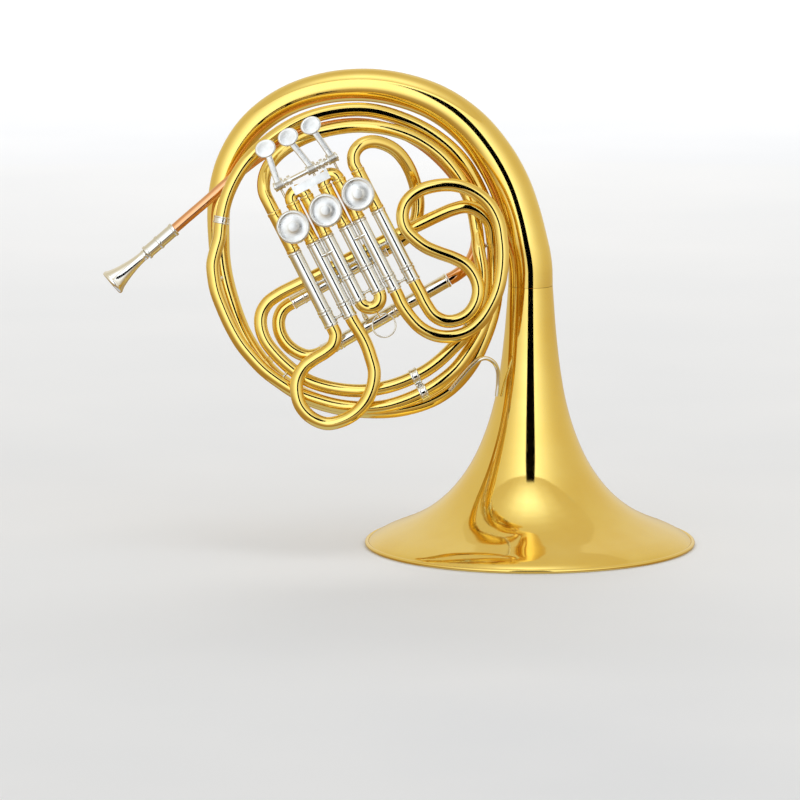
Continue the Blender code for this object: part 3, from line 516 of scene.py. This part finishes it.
def polished_metal(name, light, deep, patina, roughness, lacquer):
    """Polished metal: cloudy tint, fine buffing marks, tarnish left in the grooves."""
    made, tree, surface, place = new_material(name)
    shape = tree.nodes.new("ShaderNodeNewGeometry").outputs["Pointiness"]
    tint = ramp(tree, noise(tree, place, 22, 4), [(0.35, deep), (0.62, light)])
    groove = math_node(tree, "LESS_THAN", shape, 0.47)
    groove = math_node(tree, "MULTIPLY", groove, 0.45)
    tree.links.new(mix(tree, groove, tint, patina), surface.inputs["Base Color"])
    rough = spread(tree, noise(tree, place, 130, 6), roughness * 0.75, roughness * 1.35)
    tree.links.new(rough, surface.inputs["Roughness"])
    bump = tree.nodes.new("ShaderNodeBump")
    bump.inputs["Strength"].default_value = 0.06
    bump.inputs["Distance"].default_value = 0.00008
    tree.links.new(noise(tree, place, 420, 3, (1.0, 1.0, 9.0)), bump.inputs["Height"])
    tree.links.new(bump.outputs["Normal"], surface.inputs["Normal"])
    surface.inputs["Metallic"].default_value = 1.0
    surface.inputs["Coat Weight"].default_value = lacquer
    surface.inputs["Coat Roughness"].default_value = 0.03
    surface.inputs["Coat Tint"].default_value = (1.0, 0.95, 0.8, 1.0)
    return made


def pale_paper():
    """The floor's finish, with a faint cloudy tint."""
    made, tree, surface, place = new_material("pale_paper")
    tint = ramp(tree, noise(tree, place, 3, 2), PAPER_TINTS)
    tree.links.new(tint, surface.inputs["Base Color"])
    surface.inputs["Roughness"].default_value = 0.7
    return made


# ---- pieces ----

def skin(node, shapes, finish):
    """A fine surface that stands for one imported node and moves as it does."""
    obj = ride_along(f"{node}_skin", shapes, finish, body_of(node))
    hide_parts(node)


def ride_along(name, shapes, finish, mover):
    """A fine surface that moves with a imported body."""
    points, faces = merged(shapes)
    obj = new_object(name, [TO_WORLD @ point for point in points], faces, finish)
    obj.data.validate()
    turn_outward(obj.data)
    obj.data.shade_smooth()
    obj.data.set_sharp_from_angle(angle=math.radians(40))
    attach(obj, mover)
    return obj


def new_object(name, points, faces, finish):
    mesh = bpy.data.meshes.new(name)
    mesh.from_pydata(points, [], faces)
    mesh.materials.append(finish)
    obj = bpy.data.objects.new(name, mesh)
    bpy.context.scene.collection.objects.link(obj)
    return obj


def turn_outward(mesh):
    """Turns every face's front outwards."""
    work = bmesh.new()
    work.from_mesh(mesh)
    bmesh.ops.recalc_face_normals(work, faces=work.faces)
    work.to_mesh(mesh)
    work.free()


def body_of(node):
    for name, nodes in FRAME["record"]["behaviour"]["bodies"].items():
        if node in nodes:
            return name
    raise KeyError(node)


def make_bell(finish):
    """The flare, thin and open, with its edge rolled over a wire."""
    curve = [(p.x, p.y) for p in smooth([(z, r, 0.0) for z, r in BELL_OUTLINE], 0.02)]
    inner = [(z, r - BELL_WALL) for z, r in curve]
    upright = Matrix.Rotation(LEAN, 4, "X")
    points, faces = turned(Vector((0, 0, 0)), UP, curve[::-1] + BEAD + inner, 160)
    skin("bell", [([upright @ point for point in points], faces)], finish["brass"])


def make_tail(finish):
    """The wide tube that leaves the bell and narrows as it goes over the top."""
    points, after = path_of("bell_tail"), path_of("outer_branch")[1]
    path = points[:1] + smooth(points[1:], 0.05, points[0], after)
    radii = list(np.interp(shares_along(path), *zip(*TAIL_TAPER)))
    ends = ((points[1] - points[0]).normalized(), (after - points[-2]).normalized())
    skin("bell_tail", [swept(path, radii, WALL, 56, ends)], finish["brass"])


def make_branches(finish):
    """The long tubes from the tail to the first valve, each starting the way the last one stops."""
    sizes = {
        "outer_branch": (7.5, 6.2),
        "middle_branch": (6.2, 6.2),
        "inner_branch": (BODY_R, BODY_R),
        "valve_outlet_tube": (BODY_R, BODY_R),
    }
    names = ["bell_tail", *sizes]
    routes = {name: path_of(name) for name in names}
    routes["valve_outlet_tube"] += [
        along_slide(1, -1, -PORT_END - 8), along_slide(1, -1, -PORT_END - GAP),
    ]
    for i, (name, (r, taper)) in enumerate(sizes.items(), start=1):
        before = routes[names[i - 1]][-2]
        after = routes[names[i + 1]][1] if i + 1 < len(names) else None
        skin(name, [tube(routes[name], r, taper, before, after)], finish["brass"])


def make_inlet(finish):
    """From the mouthpiece's end to the tuning slide, and on from there to the third valve."""
    pull = tuning_pull()
    inlet = path_of("valve_inlet_tube") + [
        along_slide(3, 1, -PORT_END - 6), along_slide(3, 1, -PORT_END - GAP),
    ]
    skin("valve_inlet_tube", [tube(inlet, BODY_R, before=inlet[0] + pull * 10)], finish["brass"])
    leadpipe = path_of("leadpipe")
    pipe = tube(leadpipe, 4.6, 5.9, after=leadpipe[-1] + pull * 10)
    skin("leadpipe", [pipe], finish["red_brass"])


def joint(before, after):
    """Where one tube meets the next, and the way they run there."""
    first, second = path_of(before), path_of(after)
    return (first[-1] + second[0]) / 2, (second[1] - first[-2]).normalized()


def make_bands(finish):
    """Bands over the joints between branches, and the brace that ties two of them."""
    ferrules = (
        ("tail_ferrule", "bell_tail", "outer_branch", 8.3, "brass"),
        ("top_ferrule", "outer_branch", "middle_branch", 7.15, "nickel"),
    )
    for name, before, after, r, metal in ferrules:
        at, along = joint(before, after)
        band = banded(at - along * 3.4, at + along * 3.4, r, r - BAND_WALL, (0, 1), 1.8, 0.4)
        skin(name, [band], finish[metal])
    inner, inner_along = joint("inner_branch", "valve_outlet_tube")
    outer, outer_along = joint("middle_branch", "inner_branch")
    collars = [
        banded(at - along * 3.8, at + along * 3.8, 7.4, 6.9, (0, 1), 2.2, 0.5)
        for at, along in ((inner, inner_along), (outer, outer_along))
    ]
    skin("collar_brace", [*collars, spindle(inner, outer, 7.2, 7.2, 1.2, 2.4)], finish["nickel"])


def tuning_pull():
    """The way that the tuning slide pulls out."""
    start, end = UPPER_SLEEVE
    return (body(*start, TUNING_D) - body(*end, TUNING_D)).normalized()


def make_mouthpiece(finish):
    rim = body(*MOUTHPIECE_RIM)
    along = (path_of("leadpipe")[0] - rim).normalized()
    cup = turned(rim, along, MOUTHPIECE_OUTSIDE + MOUTHPIECE_INSIDE, 64)
    skin("mouthpiece", [cup], finish["silver"])
    ends = (rim + along * RECEIVER_START, rim + along * RECEIVER_END)
    skin("mouthpiece_receiver", [banded(*ends, 6.1, 5.2, (0, 0.45, 1), 3.2, 0.6)], finish["nickel"])


def make_tuning_slide(finish):
    upper = [body(*point, TUNING_D) for point in UPPER_SLEEVE]
    lower = [body(*point, TUNING_D) for point in LOWER_SLEEVE]
    pull = tuning_pull()
    middle = upper[0] - pull * 34
    across = pull.cross(FRONT).normalized()
    if across.dot(lower[0] - upper[0]) < 0:
        across = -across
    apart = (lower[0] - upper[0]).dot(across)
    sleeves = [banded(*ends, SLEEVE_R, SLEEVE_BORE, (0, 0.5, 1)) for ends in (upper, lower)]
    post = spindle(middle, middle + across * apart, SLEEVE_R - 0.2, SLEEVE_R - 0.2)
    skin("tuning_sleeves", [*sleeves, post], finish["nickel"])
    for name, mouth in (("upper", upper[0]), ("lower", lower[0])):
        ferrule = (mouth + pull * GAP, mouth + pull * 18.4)
        shapes = [
            banded(*ferrule, SLEEVE_R, LEG_R - WALL, (0, 0.35, 1)),
            swept([mouth + pull, mouth - pull * 58.6], [LEG_R, LEG_R], WALL),
        ]
        skin(f"tuning_leg_{name}", shapes, finish["nickel"])
    skin("tuning_slide_crook", [tube(path_of("tuning_slide_crook"), BODY_R)], finish["brass"])


def make_valve_slides(finish):
    """Each slide's fixed sleeves, and its moving legs and bow."""
    for number, (sleeve_end, ferrule, length, post_v) in SLIDE_SIZES.items():
        ends = [
            (along_slide(number, side, PORT_END + GAP), along_slide(number, side, sleeve_end))
            for side in (-1, 1)
        ]
        sleeves = [banded(*pair, SLEEVE_R, SLEEVE_BORE, (0, 1)) for pair in ends]
        skin(f"slide_sleeves_{number}", [*sleeves, slide_post(number, post_v)], finish["nickel"])
        foot = sleeve_end + ferrule
        shapes = [slide_post(number, foot - 5)]
        for side in (-1, 1):
            mouth = along_slide(number, side, sleeve_end + GAP)
            top = along_slide(number, side, foot)
            tip = along_slide(number, side, foot - length)
            shapes.append(banded(mouth, top, SLEEVE_R, LEG_R - WALL, (0, 1), 2.8, 0.5))
            shapes.append(swept([mouth, tip], [LEG_R, LEG_R], WALL))
        skin(f"slide_legs_{number}", shapes, finish["nickel"])
        bow = [tube(bow_route(number, foot + GAP), BODY_R)]
        if number == 2:
            bow.append(donut(row(0, 107.6, SLIDE_D), ROW_U, 2.2, 0.6, 32, 12))
        skin(f"slide_bow_{number}", bow, finish["brass"])
    ring_centre = row(0, 118.8, SLIDE_D)
    skin("pull_ring", [donut(ring_centre, FRONT, 10.8, 0.75, 96, 16)], finish["nickel"])


def slide_post(number, v):
    """The brace between a slide's two tubes."""
    ends = (along_slide(number, -1, v), along_slide(number, 1, v))
    return spindle(*ends, SLEEVE_R - 0.2, SLEEVE_R - 0.2)


def bow_route(number, start):
    """From one leg's end to the other's. The middle slide's bow is a plain half turn."""
    if number == 2:
        middle = row(0, start + 0.5, SLIDE_D)
        arc = [
            middle - ROW_U * LEG_OFFSET * math.cos(a) + ROW_V * LEG_OFFSET * math.sin(a)
            for a in half_turn()
        ]
        return [along_slide(2, -1, start), *arc, along_slide(2, 1, start)]
    lead = 4
    first = [along_slide(number, -1, start), along_slide(number, -1, start + lead)]
    last = [along_slide(number, 1, start + lead), along_slide(number, 1, start)]
    return first + path_of(f"slide_bow_{number}") + last


def knuckle(u, side, way):
    """A port: its inner end follows the casing round, and meets the port across from it."""
    outer, bore, inside = 6.3, 5.4, 14.6
    along = ROW_V * way
    centre = row(u, 0, SLIDE_D)

    def level(v, r):
        return ring(row(u + side * LEG_OFFSET, way * v, SLIDE_D), along, r, 32)

    cut = []
    for point in level(0, outer):
        sideways = min(abs((point - centre).dot(ROW_U)), inside)
        cut.append(point + along * math.sqrt(inside ** 2 - sideways ** 2))
    band = PORT_END - 3.0
    outline = (
        (band, outer), (band + 0.25, outer + 0.3), (band + 0.7, outer + 0.4),
        (PORT_END - 0.7, outer + 0.4), (PORT_END - 0.25, outer + 0.3), (PORT_END, outer),
        (PORT_END, bore), (inside + 0.6, bore),
    )
    return bridged([cut, *(level(v, r) for v, r in outline)], closed=False)


def make_valve(number, finish):
    """The casing with its four ports, and the flat cap in front."""
    u = valve_u(number)
    centre = row(u, 0, SLIDE_D)
    barrel = [
        (-13, 4.4), (-13, 15.1), (-12.7, 15.5), (-11.4, 15.5), (-11.0, 15.1), (11.0, 15.1),
        (11.4, 15.5), (13, 15.5), (13, BORE_R), (-10.4, BORE_R), (-10.4, 4.4),
    ]
    shapes = [turned(centre, FRONT, barrel, 64)]
    shapes += [knuckle(u, side, way) for side in (-1, 1) for way in (-1, 1)]
    skin(f"valve_casing_{number}", shapes, finish["brass"])

    cap = [
        (0, 15.2), (0.3, 15.6), (1.8, 15.6), (2.1, 15.3), (2.3, 15.3), (3.0, 14.8), (3.3, 14.2),
        (3.3, 13.3), (3.0, 12.7), (2.8, 12.0), (2.8, 5.2), (3.05, 4.8), (3.2, 4.2), (3.3, 0.05),
    ]
    front = centre + FRONT * (CASING_HALF + GAP)
    skin(f"valve_cap_{number}", [turned(front, FRONT, cap, 80, closed=False)], finish["satin"])


def make_stop_arm(number, finish):
    """On the rotor's spindle: a disc with a boss, and the link's pin beside it."""
    u = valve_u(number)
    at = u + link_side(number) * PIN_REACH
    arm = [
        rod(row(u, 0, 77.6), row(u, 0, 80.1), 5.6, 48),
        rod(row(u, 0, 76.8), row(u, 0, 77.7), 2.6, 32),
        rod(row(at, -PIN_REACH, 77.8), row(at, -PIN_REACH, 79.9), 2.6, 32),
        rod(row(at, -PIN_REACH, 73.2), row(at, -PIN_REACH, 78.6), PIN_R),
    ]
    skin(f"stop_arm_{number}", arm, finish["nickel"])


def make_link(number, finish):
    """The rod from the lever to the stop arm, with an eye at each end."""
    u = valve_u(number) + link_side(number) * PIN_U
    near, far = -PIN_REACH, HINGE_V - PIN_REACH
    eye = [(-1.2, 2.35), (-1.2, 3.2), (-0.9, 3.5), (0.9, 3.5), (1.2, 3.2), (1.2, 2.35)]
    shapes = [
        rod(row(u, far + 2.9, LINK_D), row(u, near - 2.9, LINK_D), 1.2),
        turned(row(u, near, LINK_D), FRONT, eye, 40),
        turned(row(u, far, LINK_D), ROW_U, eye, 40),
        rod(row(u, far + 3.2, LINK_D), row(u, far + 6.0, LINK_D), 1.7),
        rod(row(u, near - 6.0, LINK_D), row(u, near - 3.2, LINK_D), 1.7),
    ]
    skin(f"link_rod_{number}", shapes, finish["nickel"])


def make_lever(number, finish):
    """A finger lever: hub on the hinge rod, arm and finger plate, and the drop arm to the link."""
    side = link_side(number)
    u = valve_u(number)
    low, high = sorted((u + side * HUB_NEAR, u + side * HUB_FAR))
    hub = [
        (0, 2.75), (0, 4.0), (0.3, 4.4), (1.6, 4.4), (1.9, 4.05), (8.1, 4.05), (8.4, 4.4),
        (9.7, 4.4), (10, 4.0), (10, 2.75),
    ]
    middle = (low + high) / 2
    plate_u, plate_v = PADDLE_U[number], -76.0
    arm = smooth([
        row(middle, HINGE_V - 3.2, 102.6), row((middle + plate_u) / 2, -58, 103.4),
        row(plate_u, plate_v + 5, 104.3),
    ], 0.03)
    drop_u = u + side * 9.5
    foot = row(drop_u, HINGE_V - PIN_REACH, LINK_D + 0.2)
    shapes = [
        turned(row(low, HINGE_V, HINGE_D), ROW_U, hub, 48),
        rounded_bar(arm, 3.0, 1.5),
        finger_plate(plate_u, plate_v, 104.6),
        rounded_bar([row(drop_u, HINGE_V - 0.8, HINGE_D - 3.2), foot], 1.5, 1.9),
        rod(foot, row(u + side * 4.0, HINGE_V - PIN_REACH, LINK_D + 0.2), PIN_R),
    ]
    skin(f"lever_{number}", shapes, finish["satin"])


def rounded_bar(path, half_width, half_depth):
    """A flat bar with rounded edges along a path."""
    rings = []
    for i, point in enumerate(path):
        along = heading(path, i)
        level = ROW_V if abs(along.dot(FRONT)) > 0.7 else FRONT
        deep = (level - along * level.dot(along)).normalized()
        wide = along.cross(deep)
        corners = []
        for a in full_turn(20):
            c, s = math.cos(a), math.sin(a)
            x = math.copysign(abs(c) ** 0.45, c) * half_width
            y = math.copysign(abs(s) ** 0.45, s) * half_depth
            corners.append(point + wide * x + deep * y)
        rings.append(corners)
    return bridged(rings, closed=False)


def finger_plate(u, v, d):
    """An oval plate, softly rounded, with a shallow hollow for the fingertip."""
    across, deep = 9.8, 8.2
    levels = (
        (0.0, 0.82), (0.2, 0.92), (0.7, 0.99), (1.3, 1.0), (1.8, 0.96), (2.0, 0.88), (1.95, 0.78),
        (1.7, 0.55), (1.55, 0.3), (1.5, 0.02),
    )
    rings = [
        [
            row(u + across * scale * math.cos(a), v + deep * scale * math.sin(a), d + level)
            for a in full_turn(48)
        ]
        for level, scale in levels
    ]
    return bridged(rings, closed=False)


def make_hinge(finish):
    """The rod that the levers turn on, and their springs."""
    reach = VALVE_PITCH - 0.4
    bar = rod(row(-reach, HINGE_V, HINGE_D), row(reach, HINGE_V, HINGE_D), HINGE_ROD_R, 32)
    skin("hinge_rod", [bar], finish["nickel"])
    for number in VALVES:
        skin(f"lever_spring_{number}", [coil(number)], finish["nickel"])


def coil(number):
    """Spring wire wound round the hinge rod, just outside the lever's hub."""
    side = link_side(number)
    steps, turns, wire = 32, 2.4, 0.4
    path = []
    for k in range(int(steps * turns) + 1):
        a = 2 * math.pi * k / steps
        at = valve_u(number) + side * (HUB_FAR + 1.0 + 1.0 * k / steps)
        path.append(row(at, HINGE_V, HINGE_D) + (FRONT * math.cos(a) + ROW_V * math.sin(a)) * 3.4)
    rings = []
    for i, centre in enumerate(path):
        along = heading(path, i)
        deep = (ROW_U - along * ROW_U.dot(along)).normalized()
        wide = along.cross(deep)
        rings.append(
            [centre + (deep * math.cos(a) + wide * math.sin(a)) * wire for a in full_turn(10)]
        )
    return bridged(rings, closed=False)


def make_crossovers(finish):
    """Tight bows that carry the air from one valve to the next."""
    radius = (VALVE_PITCH - 2 * LEG_OFFSET) / 2
    start = PORT_END + GAP
    for left in (1, 2):
        middle = row(valve_u(left) + VALVE_PITCH / 2, -start - 0.4, SLIDE_D)
        arc = [
            middle - ROW_U * radius * math.cos(a) - ROW_V * radius * math.sin(a)
            for a in half_turn()
        ]
        route = [along_slide(left, 1, -start), *arc, along_slide(left + 1, -1, -start)]
        skin(f"crossover_{left}_{left + 1}", [tube(route, BODY_R)], finish["brass"])


def make_braces(finish):
    """The bell's bent wire, and the turned posts that hold fixed tubes apart."""
    wire = smooth(path_of("bell_brace"), 0.05)
    skin("bell_brace", [swept(wire, [2.0] * len(wire), None, 24)], finish["nickel"])
    for left in (1, 2):
        ends = [along_slide(left, 1, 36, 99.5), along_slide(left + 1, -1, 36, 99.5)]
        skin(f"sleeve_brace_{left}_{left + 1}", [spindle(*ends, 1, 1, 1.5, 2.0)], finish["nickel"])
    post = spindle(body(*BRANCH_BRACE[0]), body(*BRANCH_BRACE[1]), 5.4, 5.4)
    skin("branch_brace", [post], finish["nickel"])
    for name, (start, end, near, far, mover) in SMALL_BRACES.items():
        post = spindle(body(*start), body(*end), near, far)
        ride_along(name, [post], finish["nickel"], mover)


def finish_kept_nodes(finish):
    """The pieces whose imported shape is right: rotors, bearing plates and the lever saddle."""
    kept = {"lever_saddle": "satin"}
    for number in VALVES:
        kept[f"rotor_{number}"] = "nickel"
        kept[f"valve_bearing_{number}"] = "brass"
    for node, name in kept.items():
        for place in FRAME["nodes"][node].material_slots:
            place.material = finish[name]
    bevel = FRAME["nodes"]["lever_saddle"].modifiers.new("soft_edges", "BEVEL")
    bevel.width = 0.0003
    bevel.segments = 3


# ---- stage ----

def make_stage():
    """A wide pale floor, soft lights, and the screens that the metal mirrors."""
    across = (-FLOOR_REACH_M, FLOOR_REACH_M)
    corners = [Vector((x, y, 0.0)) for y in across for x in across]
    floor = stage_piece("floor", corners, grid_faces(2, 2), pale_paper())
    floor.visible_glossy = False
    make_reflections()
    for name, setup in SOFTBOXES.items():
        area_light(name, *setup)
    make_world()
    bpy.context.scene.view_settings.view_transform = "Standard"


def make_reflections():
    """What the metal mirrors: a soft screen, bright in front and warm behind, and a dark slot."""
    turns = [math.radians(a) for a in range(-180, 181, 6)]
    spots = [(z, a) for z in SCREEN_HEIGHTS_M for a in turns]
    points = [
        Vector((SCREEN_RADIUS_M * math.sin(a), -SCREEN_RADIUS_M * math.cos(a), z)) for z, a in spots
    ]
    colours = [screen_colour(a, z) for z, a in spots]
    glowing("round_screen", points, grid_faces(len(SCREEN_HEIGHTS_M), len(turns)), colours)

    spots = [(x, y) for y in CEILING_STEPS_M for x in CEILING_STEPS_M]
    points = [Vector((x, y, CEILING_M)) for x, y in spots]
    colours = [blend(WARM, WHITE, math.exp(-(x * x + (y + 1.1) ** 2))) for x, y in spots]
    count = len(CEILING_STEPS_M)
    glowing("top_screen", points, grid_faces(count, count), colours)

    (low_half, low), (top_half, top) = SLOT_ENDS_M
    corners = [(-low_half, low), (low_half, low), (-top_half, top), (top_half, top)]
    points = [Vector((BELL_AXIS_X * MM + x, -SLOT_DISTANCE_M, z)) for x, z in corners]
    glowing("dark_slot", points, grid_faces(2, 2), [(0.0, 0.0, 0.0)] * 4)


def screen_colour(turn, height):
    """White in front, warm and dimmer to the sides, dimmest below the horizon."""
    surround = blend(UNDER, WARM, min(1.0, max(0.0, (height + 0.7) / 0.9)))
    rise = min(1.0, max(0.0, 0.6 + height * 0.8))
    front = math.exp(-((turn / 0.85) ** 2)) * rise
    back = 0.12 * math.exp(-(((math.pi - abs(turn)) / 0.9) ** 2)) * rise
    return blend(surround, WHITE, front + back)


def blend(a, b, share):
    """From colour a to colour b."""
    return tuple(x + (y - x) * share for x, y in zip(a, b))


def grid_faces(rows, columns):
    """The faces between points laid out row by row."""
    return [
        (r * columns + c, r * columns + c + 1, (r + 1) * columns + c + 1, (r + 1) * columns + c)
        for r in range(rows - 1) for c in range(columns - 1)
    ]


def glowing(name, points, faces, colours):
    """A stage piece that only mirrors see, with its own light at each corner."""
    made = bpy.data.materials.new(name)
    made.use_nodes = True
    tree = made.node_tree
    tree.nodes.remove(tree.nodes["Principled BSDF"])
    emission = tree.nodes.new("ShaderNodeEmission")
    attribute = tree.nodes.new("ShaderNodeAttribute")
    attribute.attribute_name = "glow"
    tree.links.new(attribute.outputs["Color"], emission.inputs["Color"])
    tree.links.new(emission.outputs["Emission"], tree.nodes["Material Output"].inputs["Surface"])
    obj = stage_piece(name, points, faces, made)
    glow = obj.data.attributes.new("glow", "FLOAT_COLOR", "POINT")
    glow.data.foreach_set("color", [c for colour in colours for c in (*colour, 1.0)])
    obj.visible_camera = False
    obj.visible_diffuse = False
    obj.visible_shadow = False


def make_world():
    world = bpy.data.worlds.new("studio")
    world.use_nodes = True
    background = world.node_tree.nodes["Background"]
    background.inputs["Color"].default_value = (1.0, 1.0, 1.0, 1.0)
    background.inputs["Strength"].default_value = WORLD_STRENGTH
    bpy.context.scene.world = world


def stage_piece(name, points, faces, finish):
    obj = new_object(name, points, faces, finish)
    obj.data.shade_smooth()
    return obj


def area_light(name, place, size, power, target):
    """A soft light that mirrors don't see."""
    light = bpy.data.lights.new(name, "AREA")
    light.shape = "RECTANGLE"
    light.size, light.size_y = size
    light.energy = power
    obj = bpy.data.objects.new(name, light)
    obj.location = place
    obj.rotation_euler = (Vector(target) - obj.location).to_track_quat("-Z", "Y").to_euler()
    obj.visible_glossy = False
    bpy.context.scene.collection.objects.link(obj)


def make_camera():
    """Square to the leaning plane, from far enough away to flatten the view."""
    data = bpy.data.cameras.new("camera")
    data.lens = data.sensor_width * CAMERA_DISTANCE_M / FRAME_WIDTH_M
    data.clip_end = 60
    obj = bpy.data.objects.new("camera", data)
    centre = TO_WORLD @ body(*FRAME_CENTRE)
    outward = (TO_WORLD.to_3x3() @ FRONT).normalized()
    obj.location = centre + outward * CAMERA_DISTANCE_M
    obj.rotation_euler = (-outward).to_track_quat("-Z", "Y").to_euler()
    bpy.context.scene.collection.objects.link(obj)
    bpy.context.scene.camera = obj


with open("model.json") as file:
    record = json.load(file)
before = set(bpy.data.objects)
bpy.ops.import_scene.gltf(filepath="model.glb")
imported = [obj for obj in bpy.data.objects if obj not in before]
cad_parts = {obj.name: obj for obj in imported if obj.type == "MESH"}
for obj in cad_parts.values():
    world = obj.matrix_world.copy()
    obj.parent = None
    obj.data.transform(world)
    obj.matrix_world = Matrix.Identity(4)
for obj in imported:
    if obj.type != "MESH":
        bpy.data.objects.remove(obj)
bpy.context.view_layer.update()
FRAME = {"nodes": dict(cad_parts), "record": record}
FINISH = {key: polished_metal(*metal) for key, metal in METALS.items()}
make_bell(FINISH)
make_tail(FINISH)
make_branches(FINISH)
make_inlet(FINISH)
make_bands(FINISH)
make_mouthpiece(FINISH)
make_tuning_slide(FINISH)
make_valve_slides(FINISH)
for valve in VALVES:
    make_valve(valve, FINISH)
    make_stop_arm(valve, FINISH)
    make_link(valve, FINISH)
    make_lever(valve, FINISH)
make_hinge(FINISH)
make_crossovers(FINISH)
make_braces(FINISH)
finish_kept_nodes(FINISH)
make_stage()
make_camera()
